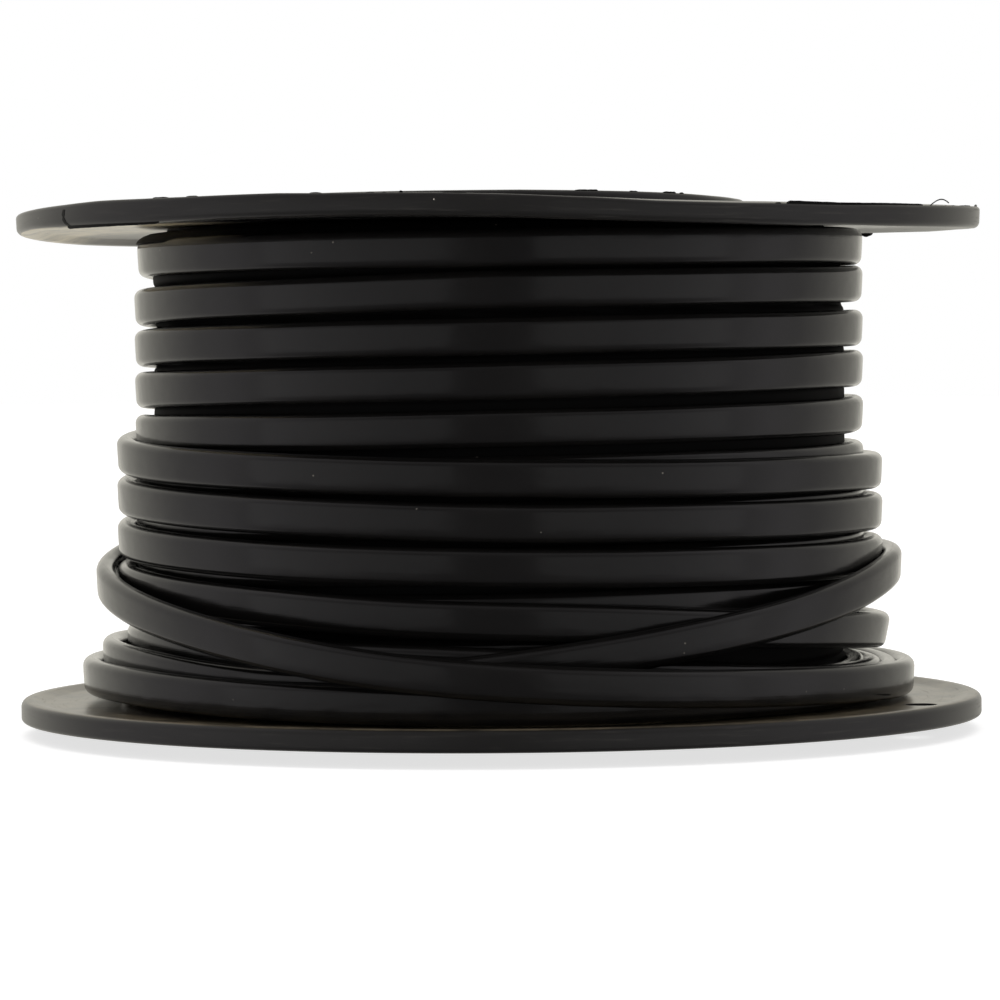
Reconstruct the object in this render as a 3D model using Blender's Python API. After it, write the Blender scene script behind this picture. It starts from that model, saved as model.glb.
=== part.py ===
# Flat twin cable wound on a two-flange spool that stands on its lower flange.
# Metres, +Z up, origin on the spool's axis in the rest plane.
import math

import bpy
import numpy as np

# Clearance between neighbouring pieces, between layers of the cable, and from its end turns to the flanges
PIECE_GAP = 0.0003
LAYER_GAP = 0.0005
TURN_GAP = 0.00035

# Flanges: RIM_SPAN is the height over both rims, and a round plate on each outer face stands above the rim
FLANGE_RADIUS = 0.1000
RIM_SPAN = 0.1055
RIM_THICKNESS = 0.0045
RIM_WIDTH = 0.0040
RIM_ROUND = 0.0014
LIP_HEIGHT = 0.0009
FACE_RECESS = 0.0006
PLATE_INSET = 0.0006
PLATE_RISE = 0.0027
PLATE_ROUND = 0.0012
PLATE_WALL = 0.0045
HUB_RADIUS = 0.0190
HUB_DEPTH = 0.0092
BORE_RADIUS = 0.0130
BORE_CHAMFER = 0.0008
SPIGOT_WALL = 0.0026
SPIGOT_HEIGHT = 0.0050
LEAD_HOLE_RADIUS = 0.00325
LEAD_HOLE_INSET = 0.0094
LEAD_HOLE_ANGLE = math.radians(-19.8)
FLANGE_SIDES = 72

# Barrel: its radius follows from the hidden full layers of cable between it and the winding
INNER_LAYERS = 5
BARREL_WALL = 0.0030
BARREL_SIDES = 48
SLOT_ANGLE = math.radians(60.0)
SLOT_RISE = 0.0105

# Flat twin cable
CABLE_WIDTH = 0.0075
CABLE_THICKNESS = 0.0034
CABLE_ROUND = 0.0011
CORE_RADIUS = 0.0011
CORE_WALL = 0.0003
CORE_CLEARANCE = 0.0001
CORE_SPACING = 0.0036
CORE_STICK_OUT = 0.0004
CONDUCTOR_STICK_OUT = 0.0008
CORE_SIDES = 12
TAIL_LENGTH = 0.0200
FINISH_LENGTH = 0.0120

# Winding: radius of the outer full layer is taken in from the flange's edge
WINDING_MARGIN = 0.0262
STATIONS_PER_TURN = 24
OUTER_LAYER_PITCH = 1.184
RETURN_PITCH = 1.1133
FRONT_DROP = 0.293
RETURN_LAG = 0.1677
LAYER_STEP = CABLE_THICKNESS + LAYER_GAP
RISER_TURN = 120.0

# Heights and radii that follow from the sizes above
SPOOL_HEIGHT = RIM_SPAN + 2 * PLATE_RISE
RIM_TOP = PLATE_RISE + RIM_THICKNESS
WEB_TOP = RIM_TOP - LIP_HEIGHT
LAYER_RADIUS = FLANGE_RADIUS - WINDING_MARGIN
PACK_RADIUS = LAYER_RADIUS - CABLE_THICKNESS / 2 - LAYER_GAP
BARREL_RADIUS = PACK_RADIUS - INNER_LAYERS * LAYER_STEP
SPIGOT_RADIUS = BARREL_RADIUS - BARREL_WALL - PIECE_GAP
PLATE_RADIUS = BARREL_RADIUS - PLATE_INSET
LOWEST_TURN = WEB_TOP + TURN_GAP + CABLE_WIDTH / 2
HIGHEST_TURN = SPOOL_HEIGHT - WEB_TOP - TURN_GAP - CABLE_WIDTH / 2

# Return turns at the foot of the spool: degrees clockwise from the right-hand side, height of the
# cable's middle above the lowest turn in cable widths, and layer above the outer full layer
FOOT_ROUTE = [
    (0, 0.153, 0.0), (30, 0.06, 0.0), (60, 0.0, 0.0), (75, 0.0, 0.0), (90, 0.0, 0.24), (105, 0.0, 0.5),
    (120, 0.0, 0.76), (135, 0.0, 1.0), (180, 0.0, 1.0), (270, 0.035, 1.0), (330, 0.12, 1.0), (360, 0.22, 1.0),
    (405, 0.62, 1.0), (435, 0.965, 1.0), (450, 1.06, 1.0), (495, 1.1, 1.0), (540, 1.153, 1.0),
    (630, 1.22, 1.0), (720, 1.287, 1.0), (765, 1.69, 1.0), (795, 2.03, 1.0), (810, 2.125, 1.0),
    (825, 2.215, 1.0), (855, 2.53, 1.0), (878, 2.75, 1.0), (900, 2.85, 1.0), (945, 3.14, 1.0),
    (990, 3.42, 1.0), (1035, 3.53, 1.0), (1080, 3.553, 1.0),
]

# Loose last loops, from the left-hand side of the highest return turn: over the back, down across the
# front, twice round the foot, up across the front over the earlier loop, and under the first at the back
LOOSE_ROUTE = [
    (180, 6.337, 1.0), (195, 6.487, 1.0), (210, 6.6, 1.43), (225, 6.65, 1.86), (240, 6.49, 2.0),
    (255, 5.98, 2.7), (270, 5.27, 3.0), (285, 4.51, 3.0), (300, 3.91, 3.0), (315, 3.54, 2.7),
    (330, 3.33, 2.2), (345, 3.23, 2.0), (360, 3.19, 2.0), (375, 3.02, 2.0), (390, 2.57, 2.0),
    (405, 2.07, 2.0), (420, 1.647, 2.0), (435, 1.22, 2.0), (450, 0.847, 2.0), (465, 0.54, 2.0),
    (480, 0.38, 2.0), (495, 0.487, 2.0), (510, 0.673, 2.0), (525, 0.767, 2.0), (540, 0.793, 2.0),
    (570, 0.74, 2.0), (600, 0.607, 2.0), (630, 0.447, 2.0), (660, 0.26, 2.0), (690, 0.1, 2.0),
    (720, 0.033, 2.0), (765, 0.02, 2.0), (780, 0.02, 2.45), (795, 0.02, 3.0), (810, 0.02, 3.0),
    (825, 0.027, 3.0), (840, 0.06, 3.0), (855, 0.14, 3.0), (870, 0.22, 3.0), (885, 0.247, 3.0),
    (900, 0.247, 3.0), (930, 0.207, 3.0), (990, 0.127, 3.0), (1050, 0.06, 3.0), (1080, 0.047, 3.0),
    (1095, 0.073, 3.0), (1110, 0.127, 3.0), (1125, 0.233, 3.0), (1140, 0.353, 3.45), (1155, 0.473, 4.0),
    (1170, 0.647, 4.0), (1185, 0.927, 4.0), (1200, 1.367, 3.6), (1215, 1.807, 2.85), (1230, 2.233, 2.3),
    (1245, 2.607, 2.0), (1260, 2.9, 2.0), (1275, 3.273, 2.0), (1290, 3.647, 2.0), (1305, 3.993, 2.0),
    (1320, 4.287, 2.0), (1335, 4.527, 2.0), (1350, 4.713, 2.0), (1365, 4.847, 2.0), (1380, 4.927, 2.0),
    (1395, 4.98, 2.0),
]


def material(name, color, roughness, metallic=0.0):
    mat = bpy.data.materials.new(name)
    mat.use_nodes = True
    shader = mat.node_tree.nodes["Principled BSDF"]
    shader.inputs["Base Color"].default_value = (*color, 1.0)
    shader.inputs["Roughness"].default_value = roughness
    shader.inputs["Metallic"].default_value = metallic
    return mat


def add_mesh(name, vertices, faces, mat=None):
    mesh = bpy.data.meshes.new(name)
    mesh.from_pydata([tuple(float(c) for c in v) for v in vertices], [], faces)
    mesh.validate()
    obj = bpy.data.objects.new(name, mesh)
    bpy.context.scene.collection.objects.link(obj)
    if mat is not None:
        mesh.materials.append(mat)
    return obj


def cut(target, cutter):
    cutter.hide_render = True
    cutter.display_type = "WIRE"
    mod = target.modifiers.new("cut_" + cutter.name, "BOOLEAN")
    mod.operation = "DIFFERENCE"
    mod.solver = "EXACT"
    mod.object = cutter


def arc(center_r, center_z, radius, start, stop, steps):
    turn = np.linspace(math.radians(start), math.radians(stop), steps + 1)
    return [(center_r + radius * math.cos(a), center_z + radius * math.sin(a)) for a in turn]


def lathe(name, profile, sides, mat):
    # Closed profile of (radius, height), counter-clockwise, turned round the Z axis
    count = len(profile)
    vertices = []
    for i in range(sides):
        a = 2 * math.pi * i / sides
        vertices += [(r * math.cos(a), r * math.sin(a), z) for r, z in profile]
    faces = []
    for i in range(sides):
        j = (i + 1) % sides
        for k in range(count):
            m = (k + 1) % count
            faces.append((i * count + k, j * count + k, j * count + m, i * count + m))
    return add_mesh(name, vertices, faces, mat)


def loft(name, rings, mat=None):
    # Equal rings of points joined in order, with flat ends
    rings = np.asarray(rings)
    stations, sides = rings.shape[:2]
    faces = []
    for i in range(stations - 1):
        for k in range(sides):
            m = (k + 1) % sides
            faces.append((i * sides + k, i * sides + m, (i + 1) * sides + m, (i + 1) * sides + k))
    faces.append(tuple(range(sides - 1, -1, -1)))
    faces.append(tuple((stations - 1) * sides + k for k in range(sides)))
    return add_mesh(name, rings.reshape(-1, 3), faces, mat)


def rod(name, start, along, side, radius, length, mat=None):
    over = np.cross(along, side)
    turn = np.arange(CORE_SIDES) * 2 * math.pi / CORE_SIDES
    ring = np.outer(np.cos(turn), side) * radius + np.outer(np.sin(turn), over) * radius
    return loft(name, [start + ring, start + ring + along * length], mat)


def pipe(name, start, along, side, outer, inner, length, mat):
    over = np.cross(along, side)
    turn = np.arange(CORE_SIDES) * 2 * math.pi / CORE_SIDES
    ring = np.outer(np.cos(turn), side) + np.outer(np.sin(turn), over)
    loops = [start + ring * outer, start + ring * outer + along * length,
             start + ring * inner + along * length, start + ring * inner]
    faces = []
    for i in range(4):
        j = (i + 1) % 4
        for k in range(CORE_SIDES):
            m = (k + 1) % CORE_SIDES
            faces.append((i * CORE_SIDES + k, i * CORE_SIDES + m, j * CORE_SIDES + m, j * CORE_SIDES + k))
    return add_mesh(name, np.concatenate(loops), faces, mat)


def flange_profile():
    # From the bore's mouth out over the plate and the outer face, round the rim, and back along the winding side
    outer = [(BORE_RADIUS, BORE_CHAMFER), (BORE_RADIUS + BORE_CHAMFER, 0.0)]
    outer += arc(PLATE_RADIUS - PLATE_ROUND, PLATE_ROUND, PLATE_ROUND, -90, 0, 3)
    outer += [(PLATE_RADIUS, PLATE_RISE + FACE_RECESS),
              (FLANGE_RADIUS - RIM_WIDTH - FACE_RECESS, PLATE_RISE + FACE_RECESS),
              (FLANGE_RADIUS - RIM_WIDTH, PLATE_RISE)]
    rim = arc(FLANGE_RADIUS - RIM_ROUND, PLATE_RISE + RIM_ROUND, RIM_ROUND, -90, 0, 3)
    rim += arc(FLANGE_RADIUS - RIM_ROUND, RIM_TOP - RIM_ROUND, RIM_ROUND, 0, 90, 3)
    inner = [(FLANGE_RADIUS - RIM_WIDTH + LIP_HEIGHT / 2, RIM_TOP),
             (FLANGE_RADIUS - RIM_WIDTH, WEB_TOP),
             (SPIGOT_RADIUS, WEB_TOP),
             (SPIGOT_RADIUS, WEB_TOP + SPIGOT_HEIGHT - BORE_CHAMFER),
             (SPIGOT_RADIUS - BORE_CHAMFER, WEB_TOP + SPIGOT_HEIGHT),
             (SPIGOT_RADIUS - SPIGOT_WALL, WEB_TOP + SPIGOT_HEIGHT),
             (SPIGOT_RADIUS - SPIGOT_WALL, PLATE_WALL),
             (HUB_RADIUS, PLATE_WALL), (HUB_RADIUS, HUB_DEPTH), (BORE_RADIUS, HUB_DEPTH)]
    return outer + rim + inner


def add_flange(name, upper, mat):
    profile = flange_profile()
    if upper:
        profile = [(r, SPOOL_HEIGHT - z) for r, z in reversed(profile)]
    flange = lathe(name, profile, FLANGE_SIDES, mat)
    reach = FLANGE_RADIUS - LEAD_HOLE_INSET
    level = SPOOL_HEIGHT - RIM_TOP if upper else PLATE_RISE
    foot = np.array([reach * math.cos(LEAD_HOLE_ANGLE), reach * math.sin(LEAD_HOLE_ANGLE),
                     level - RIM_THICKNESS])
    cutter = rod(name + "_lead_hole", foot, np.array([0.0, 0.0, 1.0]), np.array([1.0, 0.0, 0.0]),
                 LEAD_HOLE_RADIUS, 3 * RIM_THICKNESS)
    cut(flange, cutter)


def section(middle, wide, out):
    # Eight-sided rounded rectangle across the cable: wide is its broad way, out faces off the spool
    a, b, corner = CABLE_WIDTH / 2, CABLE_THICKNESS / 2, CABLE_ROUND
    corners = [(a, corner - b), (a - corner, -b), (corner - a, -b), (-a, corner - b),
               (-a, b - corner), (corner - a, b), (a - corner, b), (a, b - corner)]
    return np.array([middle + wide * w + out * n for w, n in corners])


def frames(path):
    # Direction along the path, across it up the spool, and outward, at every point
    along = np.gradient(path, axis=0)
    along[0], along[-1] = path[1] - path[0], path[-1] - path[-2]
    along /= np.linalg.norm(along, axis=1)[:, None]
    radial = path * np.array([1.0, 1.0, 0.0])
    wide = np.cross(along, radial)
    wide /= np.linalg.norm(wide, axis=1)[:, None]
    return along, wide, np.cross(wide, along)


def winding_path():
    # Layer laid down the spool by formula, return turns by list and formula, loose loops by list
    step = 360.0 / STATIONS_PER_TURN
    layer_end = LOWEST_TURN + FOOT_ROUTE[0][1] * CABLE_WIDTH
    turns = max(2, round((HIGHEST_TURN - layer_end) / (OUTER_LAYER_PITCH * CABLE_WIDTH)))
    pitch = (HIGHEST_TURN - layer_end) / turns
    front = FRONT_DROP * pitch
    angles, heights, layers = [], [], []
    for turn in np.arange(-RISER_TURN, 360.0 * turns, step):
        whole = math.floor(turn / 360.0)
        part = turn - 360.0 * whole
        ease = min(max((part - 180.0) / 75.0, 0.0), 1.0)
        drop = front * min(part / 180.0, 1.0) + (pitch - front) * ease * ease * (3 - 2 * ease)
        angles.append(turn)
        heights.append(HIGHEST_TURN - (pitch * whole + drop if turn > 0 else 0.0))
        layers.append(min(0.0, max(-1.0, (turn + 60.0) / 45.0)))
    foot = np.array(FOOT_ROUTE)
    for turn in np.arange(0.0, foot[-1, 0], step):
        angles.append(360.0 * turns + turn)
        heights.append(LOWEST_TURN + CABLE_WIDTH * np.interp(turn, foot[:, 0], foot[:, 1]))
        layers.append(np.interp(turn, foot[:, 0], foot[:, 2]))
    start = 360.0 * turns + foot[-1, 0]
    for turn in np.arange(0.0, 2.5 * 360.0, step):
        lag = RETURN_LAG * math.sin(math.radians(turn))
        angles.append(start + turn)
        rise = foot[-1, 1] + RETURN_PITCH * turn / 360.0 - lag * RETURN_PITCH
        heights.append(LOWEST_TURN + CABLE_WIDTH * rise)
        layers.append(1.0)
    loose = np.array(LOOSE_ROUTE)
    start += 2 * 360.0
    for turn in np.arange(loose[0, 0], loose[-1, 0] + step / 2, step):
        angles.append(start + turn)
        heights.append(LOWEST_TURN + CABLE_WIDTH * np.interp(turn, loose[:, 0], loose[:, 1]))
        layers.append(np.interp(turn, loose[:, 0], loose[:, 2]))
    angles = -np.radians(np.array(angles))
    radius = LAYER_RADIUS + LAYER_STEP * np.array(layers)
    return np.stack([radius * np.cos(angles), radius * np.sin(angles), np.array(heights)], axis=1)


def least_gap(path, rings):
    # Smallest distance from points on the cable's skin to the flat-sided section of another turn
    half = np.array([CABLE_WIDTH / 2, CABLE_THICKNESS / 2 * math.cos(math.pi / STATIONS_PER_TURN)])
    stations = np.arange(len(path))
    skin = np.concatenate([rings, (rings[:-1] + rings[1:]) / 2]).reshape(-1, 3)
    owner = np.repeat(np.concatenate([stations, stations[:-1]]), rings.shape[1])
    spans = np.diff(path, axis=0)
    lengths = np.linalg.norm(spans, axis=1)
    middles = (path[:-1] + path[1:]) / 2 * np.array([1.0, 1.0, 0.0])
    least = 1.0
    for i in range(len(spans)):
        along = spans[i] / lengths[i]
        wide = np.cross(along, middles[i])
        wide /= np.linalg.norm(wide)
        offset = skin - path[i]
        place = offset @ along
        near = (np.abs(owner - i) > STATIONS_PER_TURN // 3) & (place >= 0) & (place <= lengths[i])
        across = np.stack([offset[near] @ wide, offset[near] @ np.cross(wide, along)], axis=1)
        reach = np.linalg.norm(np.maximum(np.abs(across) - half, 0.0), axis=1)
        least = min(least, reach.min(initial=1.0))
    return least


def add_winding(mat):
    path = winding_path()
    along, wide, out = frames(path)
    rings = np.array([section(p, w, n) for p, w, n in zip(path, wide, out)])
    loft("cable_winding", rings, mat)
    print("least gap of the winding to itself: %.3f mm" % (least_gap(path, rings) * 1000))
    return path, along, wide, out


def add_pack(path, along, wide, out, mat):
    # Ring of full layers under the winding, its sides on the winding's own stations
    bottom, top = WEB_TOP + PIECE_GAP, SPOOL_HEIGHT - WEB_TOP - PIECE_GAP
    inside = (BARREL_RADIUS + PIECE_GAP) / math.cos(math.pi / STATIONS_PER_TURN)
    profile = [(inside, bottom), (PACK_RADIUS, bottom), (PACK_RADIUS, top), (inside, top)]
    pack = lathe("cable_pack", profile, STATIONS_PER_TURN, mat)
    # Groove in which the winding's first stretch rises out of the layer below
    rings = []
    shift = np.zeros(len(path))
    shift[0] = -PIECE_GAP
    low, high = CABLE_WIDTH / 2 + LAYER_GAP, CABLE_WIDTH
    deep, clear = CABLE_THICKNESS / 2 + LAYER_GAP, 2 * CABLE_THICKNESS
    for i in range(6):
        middle = path[i] + along[i] * shift[i]
        rings.append([middle + wide[i] * w + out[i] * n
                      for w, n in ((-low, -deep), (-low, clear), (high, clear), (high, -deep))])
    cut(pack, loft("cable_pack_groove", rings))
    return pack


def add_tail(prefix, start, along, wide, out, length, sheath_mat, core_mats, copper_mat):
    # Short end of the cable: sheath with two bores, two cores in them, two conductors in the cores
    ends = [section(start + along * s, wide, out) for s in (0.0, length)]
    sheath = loft(prefix + "_tail", ends, sheath_mat)
    for tag, sign, core_mat in (("red", 1, core_mats[0]), ("black", -1, core_mats[1])):
        seat = start + wide * (sign * CORE_SPACING / 2)
        cutter = rod(prefix + "_bore_" + tag, seat - along * CABLE_WIDTH, along, wide,
                     CORE_RADIUS + CORE_CLEARANCE, length + 2 * CABLE_WIDTH)
        cut(sheath, cutter)
        inner = CORE_RADIUS - CORE_WALL
        pipe(prefix + "_core_" + tag, seat, along, wide, CORE_RADIUS, inner, length + CORE_STICK_OUT, core_mat)
        rod(prefix + "_conductor_" + tag, seat, along, wide, inner - CORE_CLEARANCE,
            length + CONDUCTOR_STICK_OUT, copper_mat)


def add_barrel(mat):
    bottom, top = WEB_TOP + PIECE_GAP, SPOOL_HEIGHT - WEB_TOP - PIECE_GAP
    inside = BARREL_RADIUS - BARREL_WALL
    profile = [(inside, bottom), (BARREL_RADIUS, bottom), (BARREL_RADIUS, top), (inside, top)]
    barrel = lathe("barrel", profile, BARREL_SIDES, mat)
    out = np.array([math.cos(SLOT_ANGLE), math.sin(SLOT_ANGLE), 0.0])
    across = np.array([-math.sin(SLOT_ANGLE), math.cos(SLOT_ANGLE), 0.0])
    up = np.array([0.0, 0.0, 1.0])
    middle = WEB_TOP + SPIGOT_HEIGHT + SLOT_RISE
    half_high, half_wide = CABLE_WIDTH / 2 + PIECE_GAP, CABLE_THICKNESS / 2 + PIECE_GAP
    rings = []
    for reach in (BARREL_RADIUS + BARREL_WALL, BARREL_RADIUS - 3 * BARREL_WALL):
        center = out * reach + up * middle
        rings.append([center + across * a + up * z for a, z in (
            (half_wide, -half_high), (-half_wide, -half_high), (-half_wide, half_high), (half_wide, half_high))])
    cut(barrel, loft("barrel_slot", rings))
    return out * (BARREL_RADIUS * math.cos(math.pi / BARREL_SIDES)) + up * middle, -out, up, across


for old in list(bpy.data.objects):
    bpy.data.objects.remove(old, do_unlink=True)

flange_plastic = material("flange_plastic", (0.030, 0.029, 0.028), 0.35)
barrel_plastic = material("barrel_plastic", (0.045, 0.045, 0.047), 0.5)
sheath_pvc = material("sheath_pvc", (0.022, 0.021, 0.021), 0.42)
red_pvc = material("core_red_pvc", (0.45, 0.02, 0.02), 0.4)
black_pvc = material("core_black_pvc", (0.02, 0.02, 0.02), 0.4)
copper = material("copper_strand", (0.72, 0.36, 0.20), 0.3, 1.0)

add_flange("lower_flange", False, flange_plastic)
add_flange("upper_flange", True, flange_plastic)
tail_start, tail_along, tail_wide, tail_out = add_barrel(barrel_plastic)
path, along, wide, out = add_winding(sheath_pvc)
add_pack(path, along, wide, out, sheath_pvc)
add_tail("start", tail_start, tail_along, tail_wide, tail_out, TAIL_LENGTH,
         sheath_pvc, (red_pvc, black_pvc), copper)
add_tail("finish", path[-1] + along[-1] * PIECE_GAP, along[-1], wide[-1], out[-1], FINISH_LENGTH,
         sheath_pvc, (red_pvc, black_pvc), copper)
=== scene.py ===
# Wire spool: flat twin cable on a black two-flange spool, dressed on the frame of its solids.
import math

import bpy
import numpy as np
from mathutils import Matrix, Vector


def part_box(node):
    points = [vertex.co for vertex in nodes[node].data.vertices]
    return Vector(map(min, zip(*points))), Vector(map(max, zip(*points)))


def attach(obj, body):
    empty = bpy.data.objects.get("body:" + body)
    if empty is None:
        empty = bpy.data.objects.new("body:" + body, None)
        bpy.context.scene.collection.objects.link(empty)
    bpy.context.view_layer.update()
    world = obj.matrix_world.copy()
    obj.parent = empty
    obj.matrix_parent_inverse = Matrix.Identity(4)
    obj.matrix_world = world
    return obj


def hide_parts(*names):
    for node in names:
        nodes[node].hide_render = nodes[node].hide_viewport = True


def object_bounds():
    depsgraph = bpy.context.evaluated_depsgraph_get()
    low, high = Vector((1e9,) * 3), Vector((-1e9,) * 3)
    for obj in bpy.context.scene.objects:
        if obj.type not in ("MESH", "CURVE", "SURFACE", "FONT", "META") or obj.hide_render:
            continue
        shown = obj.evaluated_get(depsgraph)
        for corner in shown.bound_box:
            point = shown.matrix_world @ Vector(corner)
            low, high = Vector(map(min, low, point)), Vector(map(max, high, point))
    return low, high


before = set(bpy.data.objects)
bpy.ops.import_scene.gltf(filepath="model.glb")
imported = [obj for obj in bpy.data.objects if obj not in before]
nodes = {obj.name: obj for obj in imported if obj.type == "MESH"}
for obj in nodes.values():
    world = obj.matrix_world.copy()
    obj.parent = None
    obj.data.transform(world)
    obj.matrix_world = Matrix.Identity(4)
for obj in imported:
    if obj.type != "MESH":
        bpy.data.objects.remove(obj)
solidsBox = [list(corner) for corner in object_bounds()]
print("frame loaded,", len(nodes), "solids")


# helpers shared by all pieces
def linearColor(hexText):
    # sRGB hex to linear RGBA
    srgb = np.array([int(hexText[i:i + 2], 16) for i in (1, 3, 5)]) / 255.0
    linear = np.where(srgb <= 0.04045, srgb / 12.92, ((srgb + 0.055) / 1.055) ** 2.4)
    return (*linear.tolist(), 1.0)


def addNode(tree, kind, settings=None, links=None):
    # a node with its settings (sockets by name or number, else attributes) and the sockets that feed it
    node = tree.nodes.new("ShaderNode" + kind)
    for key, value in (settings or {}).items():
        if isinstance(key, int) or key in node.inputs:
            node.inputs[key].default_value = value
        else:
            setattr(node, key, value)
    for key, socket in (links or {}).items():
        tree.links.new(socket, node.inputs[key])
    return node


def newMaterial(name):
    mat = bpy.data.materials.new(name)
    mat.use_nodes = True
    return mat, mat.node_tree, mat.node_tree.nodes["Principled BSDF"]


def gridFaces(countU, countV, closedU=False, closedV=False):
    # quads between neighbouring rows and columns of a grid, numbered row by row
    rows = np.arange(countU if closedU else countU - 1)
    columns = np.arange(countV if closedV else countV - 1)
    i, k = np.meshgrid(rows, columns, indexing="ij")
    j, m = (i + 1) % countU, (k + 1) % countV
    quads = np.stack([i * countV + k, j * countV + k, j * countV + m, i * countV + m], axis=-1)
    return quads.reshape(-1, 4)


def addSurface(name, points, faces, mat, uv=None, sharp=35.0):
    # mesh from an array of points and lists of corners; uv holds one place in metres for each point
    mesh = bpy.data.meshes.new(name)
    mesh.from_pydata(points.reshape(-1, 3), [], faces)
    if uv is not None:
        corners = np.empty(len(mesh.loops), dtype=np.int32)
        mesh.loops.foreach_get("vertex_index", corners)
        layer = mesh.uv_layers.new(name="surface")
        layer.data.foreach_set("uv", uv.reshape(-1, 2)[corners].astype(np.float32).ravel())
    mesh.polygons.foreach_set("use_smooth", np.ones(len(mesh.polygons), dtype=bool))
    mesh.set_sharp_from_angle(angle=math.radians(sharp))
    mesh.materials.append(mat)
    obj = bpy.data.objects.new(name, mesh)
    bpy.context.scene.collection.objects.link(obj)
    return obj


def settle(obj, slot, *replaced):
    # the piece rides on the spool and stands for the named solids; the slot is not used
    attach(obj, "root")
    if replaced:
        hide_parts(*replaced)
    return obj


def wander(place, lengths, seed):
    # smooth irregular run between about -1 and 1: sines of the given lengths with fixed mixed phases
    phases = np.random.default_rng(seed).uniform(0, 2 * math.pi, len(lengths))
    waves = np.sin(2 * math.pi * place[..., None] / np.array(lengths) + phases)
    return waves.sum(axis=-1) / math.sqrt(len(lengths) * 2)


def sweepGrid(path, across, out, outline):
    # an outline carried along a path, with flat ends; uv runs along the path and round the outline in metres
    rings = path[:, None] + across[:, None] * outline[None, :, :1] + out[:, None] * outline[None, :, 1:]
    faces = gridFaces(*rings.shape[:2], False, True).tolist()
    count, last = len(outline), (len(path) - 1) * len(outline)
    faces += [list(range(count)), list(range(last + count - 1, last - 1, -1))]
    length = np.concatenate([[0.0], np.cumsum(np.linalg.norm(np.diff(path, axis=0), axis=1))])
    girth = np.concatenate([[0.0], np.cumsum(np.linalg.norm(np.diff(outline, axis=0), axis=1))])
    return rings, faces, np.stack(np.meshgrid(length, girth, indexing="ij"), axis=-1)


def sweep(name, path, across, out, outline, mat):
    rings, faces, uv = sweepGrid(path, across, out, outline)
    return addSurface(name, rings, faces, mat, uv, 50.0)


# camera, at the height of the winding and looking down a little
cameraSetup = {"place": (0.0, -1.0275, 0.0799), "lens": 177.08, "down": 1.805, "roll": -0.0076}
cameraData = bpy.data.cameras.new("camera")
cameraData.lens = cameraSetup["lens"]
cameraData.sensor_width = 36.0
cameraData.clip_end = 50.0
camera = bpy.data.objects.new("camera", cameraData)
turnDown = Matrix.Rotation(math.radians(90 - cameraSetup["down"]), 4, "X")
camera.matrix_world = Matrix.Translation(cameraSetup["place"]) @ turnDown @ Matrix.Rotation(cameraSetup["roll"], 4, "Z")
bpy.context.scene.collection.objects.link(camera)
bpy.context.scene.camera = camera
print("camera placed")


def dustGrains(tree, body, rarity):
    # dust grains about 0.25 mm wide, one in a few cells of 4 mm
    cells = addNode(tree, "TexVoronoi", {"Scale": 250.0}, {"Vector": body})
    grain = addNode(tree, "Math", {"operation": "LESS_THAN", 1: 0.04}, {0: cells.outputs["Distance"]})
    pick = addNode(tree, "SeparateColor", {}, {"Color": cells.outputs["Color"]})
    chosen = addNode(tree, "Math", {"operation": "GREATER_THAN", 1: rarity}, {0: pick.outputs["Red"]})
    return addNode(tree, "Math", {"operation": "MULTIPLY"}, {0: grain.outputs[0], 1: chosen.outputs[0]})


def sheathMaterial(name, glossFrom, glossTo, dark, light, shine):
    # Extruded flexible PVC: deep black and satin, with die lines along the cable, slow waves and a little dust
    mat, tree, shader = newMaterial(name)
    place = addNode(tree, "UVMap", {"uv_map": "surface"}).outputs["UV"]
    body = addNode(tree, "TexCoord").outputs["Object"]
    # die lines 0.35 mm apart across the cable and 90 mm long
    lineScale = addNode(tree, "Mapping", {"Scale": (11.0, 2800.0, 1.0)}, {"Vector": place})
    lines = addNode(tree, "TexNoise", {"Scale": 1.0, "Detail": 2.0}, {"Vector": lineScale.outputs[0]})
    # waves about 6 mm long left by the haul-off
    waveScale = addNode(tree, "Mapping", {"Scale": (160.0, 330.0, 1.0)}, {"Vector": place})
    waves = addNode(tree, "TexNoise", {"Scale": 1.0, "Detail": 1.0}, {"Vector": waveScale.outputs[0]})
    # patches of handling haze about 25 mm across
    haze = addNode(tree, "TexNoise", {"Scale": 40.0, "Detail": 4.0, "Roughness": 0.6}, {"Vector": body})
    dust = dustGrains(tree, body, 0.86)
    toneRange = addNode(tree, "MapRange", {"From Min": 0.3, "From Max": 0.75}, {"Value": haze.outputs["Fac"]})
    tone = addNode(tree, "Mix", {"data_type": "RGBA", 6: linearColor(dark), 7: linearColor(light)},
                   {0: toneRange.outputs[0]})
    dusty = addNode(tree, "Mix", {"data_type": "RGBA", 7: linearColor("#6e6a62")},
                    {0: dust.outputs[0], 6: tone.outputs[2]})
    gloss = addNode(tree, "MapRange", {"From Min": 0.25, "From Max": 0.8, "To Min": glossFrom, "To Max": glossTo},
                    {"Value": haze.outputs["Fac"]})
    lineBump = addNode(tree, "Bump", {"Strength": 0.25, "Distance": 0.00004}, {"Height": lines.outputs["Fac"]})
    waveBump = addNode(tree, "Bump", {"Strength": 0.5, "Distance": 0.00012},
                       {"Height": waves.outputs["Fac"], "Normal": lineBump.outputs[0]})
    shader.inputs["IOR"].default_value = 1.53
    shader.inputs["Specular IOR Level"].default_value = shine
    tree.links.new(dusty.outputs[2], shader.inputs["Base Color"])
    tree.links.new(gloss.outputs[0], shader.inputs["Roughness"])
    tree.links.new(waveBump.outputs[0], shader.inputs["Normal"])
    return mat


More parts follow.
